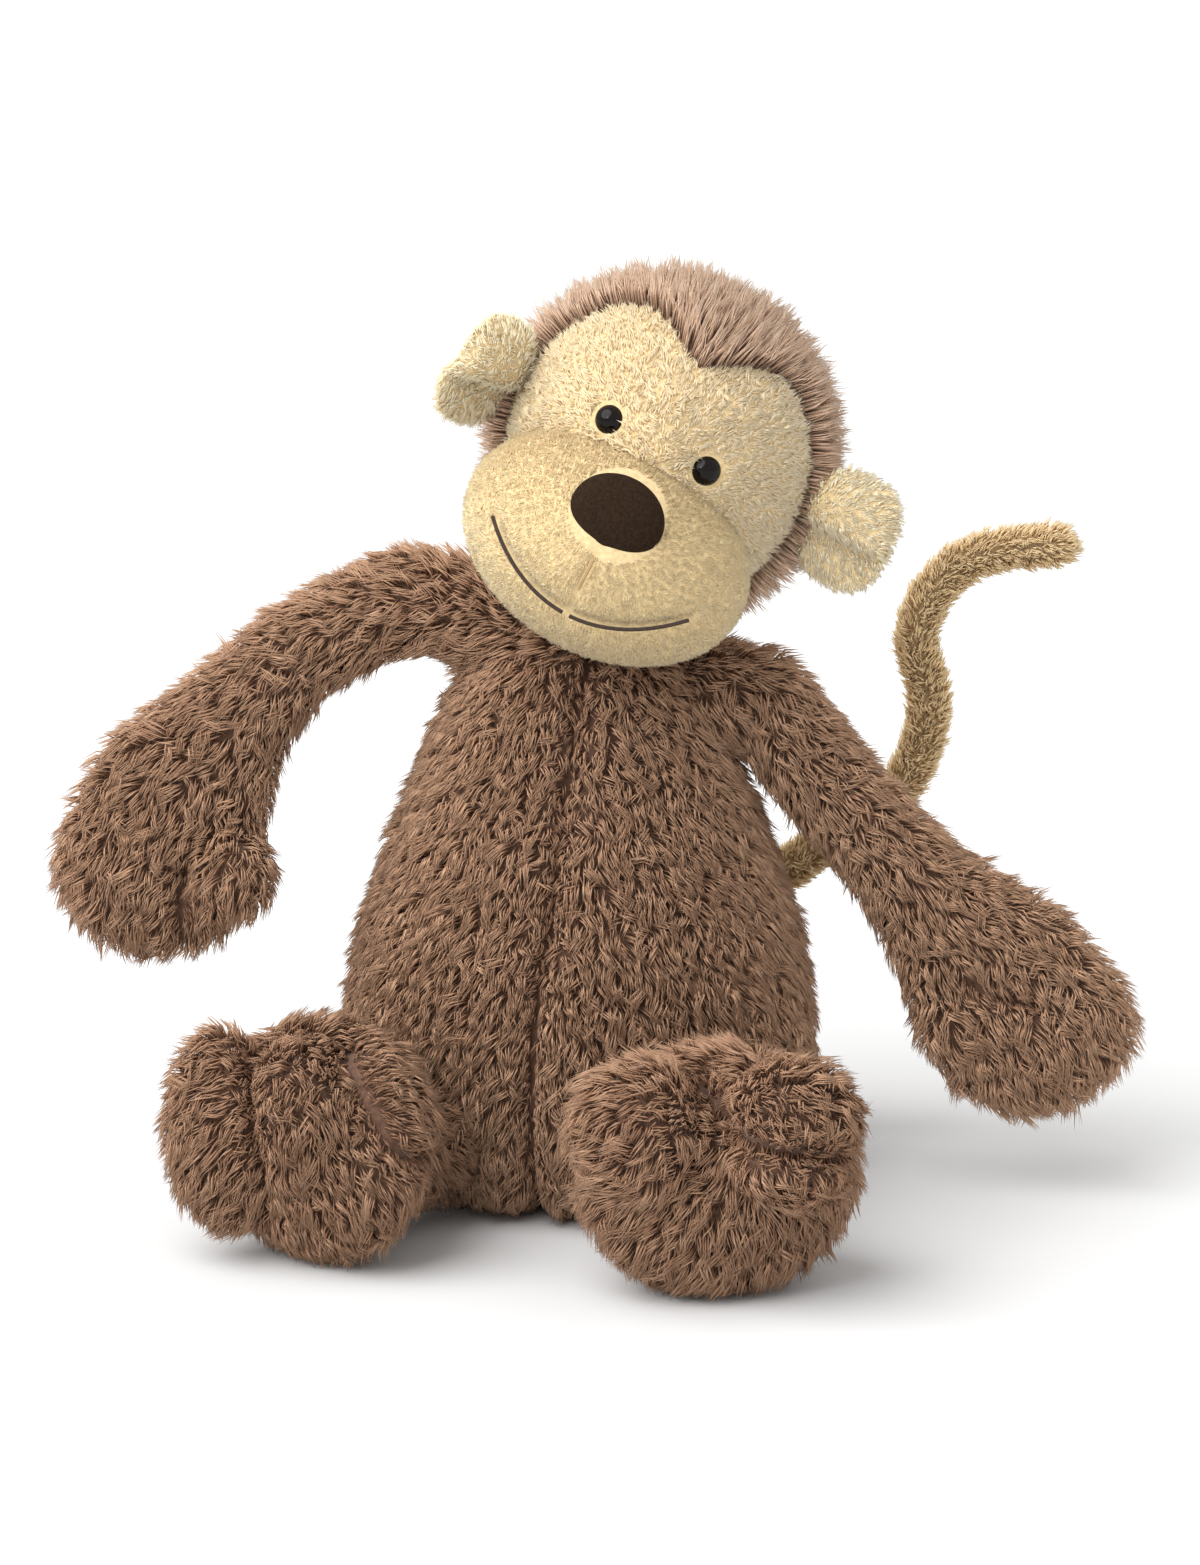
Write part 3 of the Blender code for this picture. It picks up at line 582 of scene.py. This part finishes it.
def grow(name, roots, normals, comb, materials, length, width, stand, lie, lock, cling, tone, wild, bent=True,
         mottle=0.8):
    """Pile on the given roots. comb is the way it lies; stand and lie are its angles off the skin at root and
    tip; lock is the width of a lock, cling how far tips gather in it, tone the mean shade as a share, wild
    how much locks stray from the comb and mottle how much they differ in shade. A short pile isn't bent."""
    count = len(roots)
    comb = unit(comb - (comb * normals).sum(axis=1, keepdims=True) * normals)
    centres = np.sort(np.unique(cells_of(roots, lock), return_index=True)[1])
    tree = KDTree(len(centres))
    for k, point in enumerate(roots[centres]):
        tree.insert(point, k)
    tree.balance()
    mine = np.fromiter((tree.find(point)[1] for point in roots), np.int64, count)
    turn = random.normal(0, wild, len(centres))[mine] + random.normal(0, wild / 2.5, count)
    of_lock, of_strand = LENGTH_SPREAD
    size = length * (1 + random.normal(0, of_lock, len(centres))[mine] + random.normal(0, of_strand, count))
    size = np.clip(size, 0.4 * length, 1.5 * length)[:, None]
    comb = spin_about(comb, normals, turn)
    of_lock, of_strand = LEAN_SPREAD
    stand = stand + random.normal(0, of_lock, len(centres))[mine] + random.normal(0, of_strand, count)
    lie = lie + random.normal(0, of_lock, len(centres))[mine] + random.normal(0, of_strand, count)
    rise = unit(normals * np.sin(stand)[:, None] + comb * np.cos(stand)[:, None])
    fall = unit(normals * np.sin(lie)[:, None] + comb * np.cos(lie)[:, None])
    middle = roots + BEND_AT * size * rise
    tips = middle + (1 - BEND_AT) * size * fall
    home = centres[mine]
    tips += cling * (tips[home] - tips)
    middle += BEND_CLING * cling * (middle[home] - middle)
    thick = width / 2 * (1 + random.normal(0, THICKNESS_SPREAD, count))[:, None]
    foot = ring(roots - ROOT_DEPTH * rise, rise, normals, (0.9 if bent else 1.2) * thick)
    rings = [foot, ring(middle, unit(tips - roots), normals, thick)] if bent else [foot]
    last = len(materials) - 1
    shade = tone * last + random.normal(0, mottle, len(centres))[mine] + random.normal(0, TONE_SPREAD, count)
    tones = np.stack([np.clip(np.round(shade + more), 0, last) for more in (ROOT_PAINTED_SHADE, TIP_BLEACH_AND_PAINTED_LIGHT)], axis=1)
    made = strands_mesh(name, rings, tips, tones, materials)
    print(name, count, "strands in", len(centres), "locks,", len(made.data.polygons), "faces")
    return made


# %% [markdown]
# ## Which way the pile lies
# Plush is cut so that its pile strokes down the body and out along the limbs. On the soles and on the crown
# it spreads from a middle. Beside a seam or a fold it parts and is shorter, and its tone is painted darker,
# as the shade there. A comb is a field of directions over a skin.

# %% Combs
# Middle lines of the arms and of the tail, in mm.
ARM_PATHS = {
    "left": [(44.5, 4.5, 125.5), (55.5, 5.5, 111.5), (68, 6, 97), (87, 7, 75.5), (101, 7.5, 60), (113, 8, 44),
             (123.5, 9, 23.5)],
    "right": [(-30, -4, 148), (-46, -8, 148.5), (-68, -15, 137), (-84, -21, 120), (-96, -26, 102),
              (-102, -30, 84), (-105, -33, 63)],
}
TAIL_PATH = [(12, 50, 44), (14, 55, 45.5), (24, 59.5, 53), (47, 58, 71.5), (65, 62, 84), (75.5, 64, 95),
             (80.5, 65, 114), (76.5, 64, 132), (85, 65.5, 148), (98, 66, 154), (112.5, 65.7, 155.5)]
PATH_BLEND = 12 * MM  # stretches of a path nearer than this share in the direction


def along(points, path):
    """The way a path runs where it passes each point."""
    path = np.array(path) * MM
    spans = unit(path[1:] - path[:-1])
    middles = (path[1:] + path[:-1]) / 2
    away = np.linalg.norm(points[:, None] - middles[None], axis=2)
    weights = np.exp(-((away / PATH_BLEND) ** 2)) + 1e-9
    return unit((weights[:, :, None] * spans[None]).sum(axis=1))


def from_point(points, centre):
    """Straight away from a point."""
    return unit(points - np.array(centre))


def inside(roots, skins, depth):
    """True for a root that is sunk deeper than this in any of the other skins."""
    sunk = np.zeros(len(roots), bool)
    for skin in skins:
        points, _, _ = skin_arrays(skin)
        tree = BVHTree.FromPolygons(points.tolist(), [f.vertices for f in skin.data.polygons])
        within = (roots > points.min(axis=0)) & (roots < points.max(axis=0))
        for k in np.flatnonzero(within.all(axis=1)):
            place, normal, _, _ = tree.find_nearest(roots[k])
            sunk[k] |= (Vector(roots[k]) - place).dot(normal) < -depth
    return sunk


# %% The brown pile
BROWN = dict(length=7.2 * MM, width=0.42 * MM, stand=math.radians(60), lie=math.radians(24), lock=2.4 * MM,
             cling=0.42, wild=0.5)
SPACING = 0.84 * MM
DOWN = np.array((0, 0, -1.0))
TONES = {"torso": 0.52, "arm_left": 0.68, "arm_right": 0.5, "leg_left": 0.3, "leg_right": 0.3}
# Painted light: the body's pile is paler low down, against the shade that falls between the feet.
LOW_BELLY, LOW_BELLY_PAINTED_LIGHT = 60 * MM, 0.3  # below this height the body's pile is paler, by up to this
FOOT_MIDDLES = {"left": (0.056, -0.080, 0.036), "right": (-0.058, -0.066, 0.036)}
# Beside a fold the pile leaves a gap, is trimmed, is pushed aside and is painted darker as shade, within a
# reach.
FOLD_GAP, FOLD_REACH, FOLD_TRIM, FOLD_PUSH, FOLD_PAINTED_SHADE = 0.6 * MM, 4.5 * MM, 0.42, 1.0, 0.7
SUNK = 1.5 * MM  # a root deeper than this in another skin grows no strand


def fold_distance(points, creases):
    """Distance from each point to the nearest seam or crease in front of its middle."""
    nearest = np.full(len(points), 1.0)
    for path, _, _, middle in creases:
        in_front = points[:, 1] < middle[1] * MM
        nearest = np.where(in_front, np.minimum(nearest, distance_to(points, path)), nearest)
    return nearest


def away_from_fold(points, creases, normals):
    """The direction over the skin that leads away from the nearest seam or crease."""
    step = 0.5 * MM
    slope = [fold_distance(points + step * axis, creases) - fold_distance(points - step * axis, creases)
             for axis in (np.array((1.0, 0, 0)), np.array((0, 0, 1.0)))]
    way = np.stack((slope[0], np.zeros(len(points)), slope[1]), axis=1)
    way -= (way * normals).sum(axis=1, keepdims=True) * normals
    return unit(way)


def brown_comb(name, roots):
    """The way that the body's or a limb's pile is combed, before its folds part it."""
    if name == "torso":
        return np.tile(DOWN, (len(roots), 1))
    limb, side = name.split("_")
    if limb == "arm":
        return along(roots, ARM_PATHS[side])
    return from_point(roots, FOOT_MIDDLES[side]) + 0.5 * DOWN


skins = {"torso": torso_skin, **limb_skins}
piles = {}
for name, skin in skins.items():
    skin.data.materials.clear()
    skin.data.materials.append(brown_backing)
    roots, normals = scattered(skin, SPACING)
    others = [other for other in skins.values() if other is not skin] + [skull_skin, muzzle_skin]
    fold = fold_distance(roots, CREASES[name])
    shown = ~inside(roots, others, SUNK) & (roots[:, 2] > 1.0 * MM) & (fold > FOLD_GAP)
    roots, normals, fold = roots[shown], normals[shown], fold[shown]
    aside = away_from_fold(roots, CREASES[name], normals)
    comb = unit(brown_comb(name, roots)) + dent(fold, FOLD_REACH, FOLD_PUSH)[:, None] * aside
    # Painted light pales the body's pile low down, and painted shade darkens it beside folds.
    low = np.clip(1 - roots[:, 2] / LOW_BELLY, 0, 1) if name == "torso" else 0
    tone = TONES[name] + LOW_BELLY_PAINTED_LIGHT * low - dent(fold, FOLD_REACH / 2, FOLD_PAINTED_SHADE)
    coat = {**BROWN, "length": BROWN["length"] * (1 - dent(fold, FOLD_REACH, FOLD_TRIM))}
    piles[name] = grow(name + "_pile", roots, normals, comb, brown_pile, tone=tone, **coat)

# %% [markdown]
# ## Head pile, ears and tail
# The crown's pile is as long as the body's, and painted paler for the light that falls on the top of the
# head. The face and the muzzle are cut short, so their pile reads as grain. The ears are two layers of the
# cream pile, a little longer.

# %% The head's pile
CROWN = {**BROWN, "length": 8.8 * MM, "width": 0.40 * MM, "stand": math.radians(72), "lie": math.radians(42),
         "lock": 1.6 * MM, "cling": 0.3, "wild": 0.22, "mottle": 0.5}
roots, normals = scattered(skull_skin, 0.74 * MM)
shown = ~on_face(roots) & ~inside(roots, [muzzle_skin, torso_skin], 1.0 * MM)
roots, normals = roots[shown], normals[shown]
face_middle = from_head(np.array([[0, -45, 46]]) * MM)[0]
behind = np.clip(to_head(roots)[:, 1] / SKULL_SEMI[1], 0, 1)[:, None]
head_down = -HEAD_ARRAY[:3, 2]
crown_comb = from_point(roots, face_middle) + 2.5 * behind * head_down
piles["crown"] = grow("crown_pile_painted_light", roots, normals, crown_comb, crown_pile_painted_light, tone=0.5, **CROWN)

SHORT = dict(width=0.44 * MM, stand=math.radians(60), lie=math.radians(25), cling=0.4, bent=False)
SMILE_GAP, PLEAT_GAP, PLEAT_TOP = 1.1 * MM, 0.8 * MM, 26 * MM
EYE_CLEARING = 4.6 * MM
NOSE_CLEARING = np.array((11.6, 99, 9.7))  # half width, depth and height in mm; the nose clears all its depth
eye_points = [np.mean(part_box("eye_" + side), axis=0) for side in ("left", "right")]
nose_point = np.mean(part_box("nose"), axis=0)


def clear_of_features(roots):
    """True where neither an eye nor the nose stands on the pile."""
    from_nose = to_head(roots) - to_head(nose_point[None])
    free = np.linalg.norm(from_nose / NOSE_CLEARING, axis=1) > 1 * MM
    for point in eye_points:
        free &= np.linalg.norm(roots - point, axis=1) > EYE_CLEARING
    return free


def clear_of_mouth(roots):
    """True where neither the smile nor the pleat is stitched through the pile."""
    x, y, z = to_head(roots).T
    near_smile = (np.abs(z - smile_height(x)) < SMILE_GAP) & (np.abs(x) < SMILE_REACH)
    near_pleat = (np.abs(x) < PLEAT_GAP) & (z > smile_height(0)) & (z < PLEAT_TOP)
    return ~((near_smile | near_pleat) & (y < MUZZLE_CENTRE[1]))


roots, normals = scattered(skull_skin, 0.56 * MM)
shown = on_face(roots) & ~inside(roots, [muzzle_skin, torso_skin], 0.5 * MM) & clear_of_features(roots)
roots, normals = roots[shown], normals[shown]
# Painted light: the face's pile is paler towards the head's left, the side turned away from the key light.
tone = 0.55 + 0.4 * np.clip(to_head(roots)[:, 0] / SKULL_SEMI[0], -0.5, 1)  # paler towards its left
piles["face"] = grow("face_pile", roots, normals, from_point(roots, face_middle), cream_pile, wild=0.7,
                     tone=tone, length=2.4 * MM, lock=1.5 * MM, mottle=0.5, **SHORT)
roots, normals = scattered(muzzle_skin, 0.5 * MM)
shown = clear_of_mouth(roots) & ~inside(roots, [skull_skin, torso_skin], 0.5 * MM) & clear_of_features(roots)
roots, normals = roots[shown], normals[shown]
muzzle_front = from_head(np.array([[0, -60, 30]]) * MM)[0]
# Painted shade: the muzzle's pile is darker where it faces up, against the sky's light on its top.
tone = 0.72 - 0.85 * np.clip(normals[:, 2], 0, 1)  # darker on its top
piles["muzzle"] = grow("muzzle_pile", roots, normals, from_point(roots, muzzle_front), muzzle_pile, wild=0.7,
                       tone=tone, length=1.4 * MM, lock=1.1 * MM, mottle=0.6, **{**SHORT, "width": 0.38 * MM})

# %% Ears and tail
EAR_LENGTH, EAR_HALF_HEIGHT = 24.8 * MM, 15 * MM
EAR_FORWARD = {"left": math.radians(-10), "right": math.radians(43)}  # turns forward, about the head's Z
# Painted light: the right ear, turned forward into shade, takes a paler tone than the left.
EAR_PAINTED_LIGHT_TONES = {"left": 0.78, "right": 1.0}
EAR_CREASE, EAR_CREASE_WIDTH = -0.10, 0.05  # place and softness of the crease, as shares of the half height
EAR_HOLLOW, EAR_PUFF = 2.6 * MM, 4.2 * MM


def folded(points, side):
    """The ear folded along a crease from its root outwards, one half puffed out over the hollow other."""
    root = to_head(pivot(f"ear_{side}_fold")[None])[0]
    turn = np.array(Matrix.Rotation(EAR_FORWARD[side], 3, "Z"))
    local = (to_head(points) - root) @ turn
    out, up = np.abs(local[:, 0]) / EAR_LENGTH, local[:, 2] / EAR_HALF_HEIGHT
    over = 1 / (1 + np.exp(-(up - EAR_CREASE) / EAR_CREASE_WIDTH))
    swell = np.clip(1 - up**2, 0, 1) * np.clip(1 - (2 * out - 1) ** 2, 0, 1) ** 0.5
    local[:, 1] += swell * (EAR_HOLLOW * (1 - over) - EAR_PUFF * over)
    return from_head(local @ turn.T + root)


ear_skins = {}
for side in ("left", "right"):
    skin = melted("ear_skin_" + side, [f"ear_front_{side}", f"ear_back_{side}"], 0.6 * MM, 4, inset=0.6 * MM)
    points, _, _ = skin_arrays(skin)
    skin.data.vertices.foreach_set("co", folded(points, side).ravel())
    skin.data.update()
    skin.data.materials.append(cream_backing)
    ear_skins[side] = skin
    roots, normals = scattered(skin, 0.6 * MM)
    shown = ~inside(roots, [skull_skin], 0.8 * MM)
    roots, normals = roots[shown], normals[shown]
    comb = from_point(roots, pivot(f"ear_{side}_fold"))
    piles["ear_" + side] = grow("ear_pile_" + side, roots, normals, comb, ear_pile, tone=EAR_PAINTED_LIGHT_TONES[side],
                                wild=0.4, length=2.8 * MM, lock=1.6 * MM, mottle=0.6,
                                **{**SHORT, "lie": math.radians(8)})
tail_skin.data.materials.append(tail_backing)
roots, normals = scattered(tail_skin, 0.66 * MM)
shown = ~inside(roots, [torso_skin], 1.0 * MM)
roots, normals = roots[shown], normals[shown]
TAIL = {**SHORT, "bent": True, "stand": math.radians(72), "lie": math.radians(38), "cling": 0.25}
piles["tail"] = grow("tail_pile", roots, normals, along(roots, TAIL_PATH), tail_pile, tone=0.5, wild=0.5,
                     length=3.6 * MM, lock=1.6 * MM, mottle=0.5, **TAIL)

# %% [markdown]
# ## Eyes, nose and mouth
# The eyes are black glossy domes sunk a little into the pile. The nose is an oval of dark suede over
# wadding. The smile and the pleat under the nose are stitched in brown thread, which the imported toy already
# holds.

# %% Eyes and nose
black_gloss = cloth("black_gloss", (0.003, 0.002, 0.002), (0.006, 0.004, 0.003), 60, 0.3, bump=0.0, sheen=0.0)
shader_of(black_gloss).inputs["Specular IOR Level"].default_value = 0.0
shader_of(black_gloss).inputs["Coat Weight"].default_value = 0.7
shader_of(black_gloss).inputs["Coat Roughness"].default_value = 0.03
shader_of(black_gloss).inputs["Coat IOR"].default_value = 1.35
thread = cloth("mouth_thread", (0.020, 0.009, 0.005), (0.050, 0.025, 0.014), 1600, 0.8, sheen=0.1)
pleat_thread = cloth("pleat_thread", (0.34, 0.22, 0.10), (0.50, 0.35, 0.17), 1600, 0.9, sheen=0.1)


def dome(name, node, ahead, semi, material):
    """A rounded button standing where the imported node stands, facing the head's direction ahead."""
    low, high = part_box(node)
    centre = (np.array(low) + np.array(high)) / 2
    ball = bmesh.new()
    bmesh.ops.create_uvsphere(ball, u_segments=64, v_segments=40, radius=1)
    mesh = bpy.data.meshes.new(name)
    ball.to_mesh(mesh)
    ball.free()
    forward = Vector(ahead).normalized()
    across = Vector((0, 0, 1)).cross(forward).normalized()
    upright = forward.cross(across)
    turn = Matrix((across, upright, forward)).transposed().to_4x4()
    mesh.transform(Matrix.Diagonal((*semi, 1)))
    mesh.transform(HEAD.to_3x3().to_4x4() @ turn)
    mesh.transform(Matrix.Translation(centre))
    mesh.shade_smooth()
    mesh.materials.append(material)
    made = bpy.data.objects.new(name, mesh)
    bpy.context.scene.collection.objects.link(made)
    return made


EYE_SPREAD, EYE_HEIGHT = 12.7 * MM, 52.6 * MM
EYE_SEMI, NOSE_SEMI = np.array((3.8, 3.8, 3.6)) * MM, np.array((11.7, 9.8, 4.8)) * MM
for side, sign in (("left", 1), ("right", -1)):
    across, up = sign * EYE_SPREAD / SKULL_SEMI[0], (EYE_HEIGHT - SKULL_CENTRE[2]) / SKULL_SEMI[2]
    ahead = np.array((across, -math.sqrt(1 - across**2 - up**2), up)) / SKULL_SEMI
    eye = dome("eye_dome_" + side, "eye_" + side, ahead, EYE_SEMI, black_gloss)
    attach(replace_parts(eye, "eye_" + side), "head")
nose = dome("nose_pad", "nose", (0, -1, 0.12), NOSE_SEMI, suede)
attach(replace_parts(nose, "nose"), "head")
for node in ("mouth_thread_left", "mouth_thread_right", "philtrum_stitch"):
    frame["nodes"][node].data.materials.clear()
    frame["nodes"][node].data.materials.append(pleat_thread if node == "philtrum_stitch" else thread)
print("eyes, nose and mouth are in place")

# %% [markdown]
# ## What moves with what
# Each skin takes over its packed panels and fillings. The skins and pile of the body, the ears, the tail and
# the head move with their body; the limbs' skins and pile stay fixed where they stand.


def joint_blend(piece):
    """Fixes a piece where it stands, by baking its placing into its mesh."""
    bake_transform(piece)


def declare(skin, nodes):
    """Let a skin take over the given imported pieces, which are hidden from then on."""
    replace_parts(skin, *nodes)


declare(torso_skin, TORSO)
for piece in (torso_skin, piles["torso"]):
    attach(piece, "torso")
for side in ("left", "right"):
    arm, leg, ear = "arm_" + side, "leg_" + side, "ear_" + side
    declare(limb_skins[arm], limb_nodes("arm", side))
    declare(limb_skins[leg], limb_nodes("leg", side))
    declare(ear_skins[side], [f"ear_front_{side}", f"ear_back_{side}"])
    for piece in (limb_skins[arm], piles[arm]):
        joint_blend(piece)
    for piece in (limb_skins[leg], piles[leg]):
        joint_blend(piece)
    for piece in (ear_skins[side], piles[ear]):
        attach(piece, ear)
declare(tail_skin, ["tail_cover", "tail_filling"])
for piece in (tail_skin, piles["tail"]):
    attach(piece, "tail")
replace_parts(skull_skin, "face", "head_cap_left", "head_cap_right", "head_filling", "eye_washer_left",
            "eye_washer_right")
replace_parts(muzzle_skin, "muzzle")
for piece in (skull_skin, muzzle_skin, piles["crown"], piles["face"], piles["muzzle"]):
    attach(piece, "head")
frame["nodes"]["neck_thread"].data.materials.clear()
frame["nodes"]["neck_thread"].data.materials.append(thread)
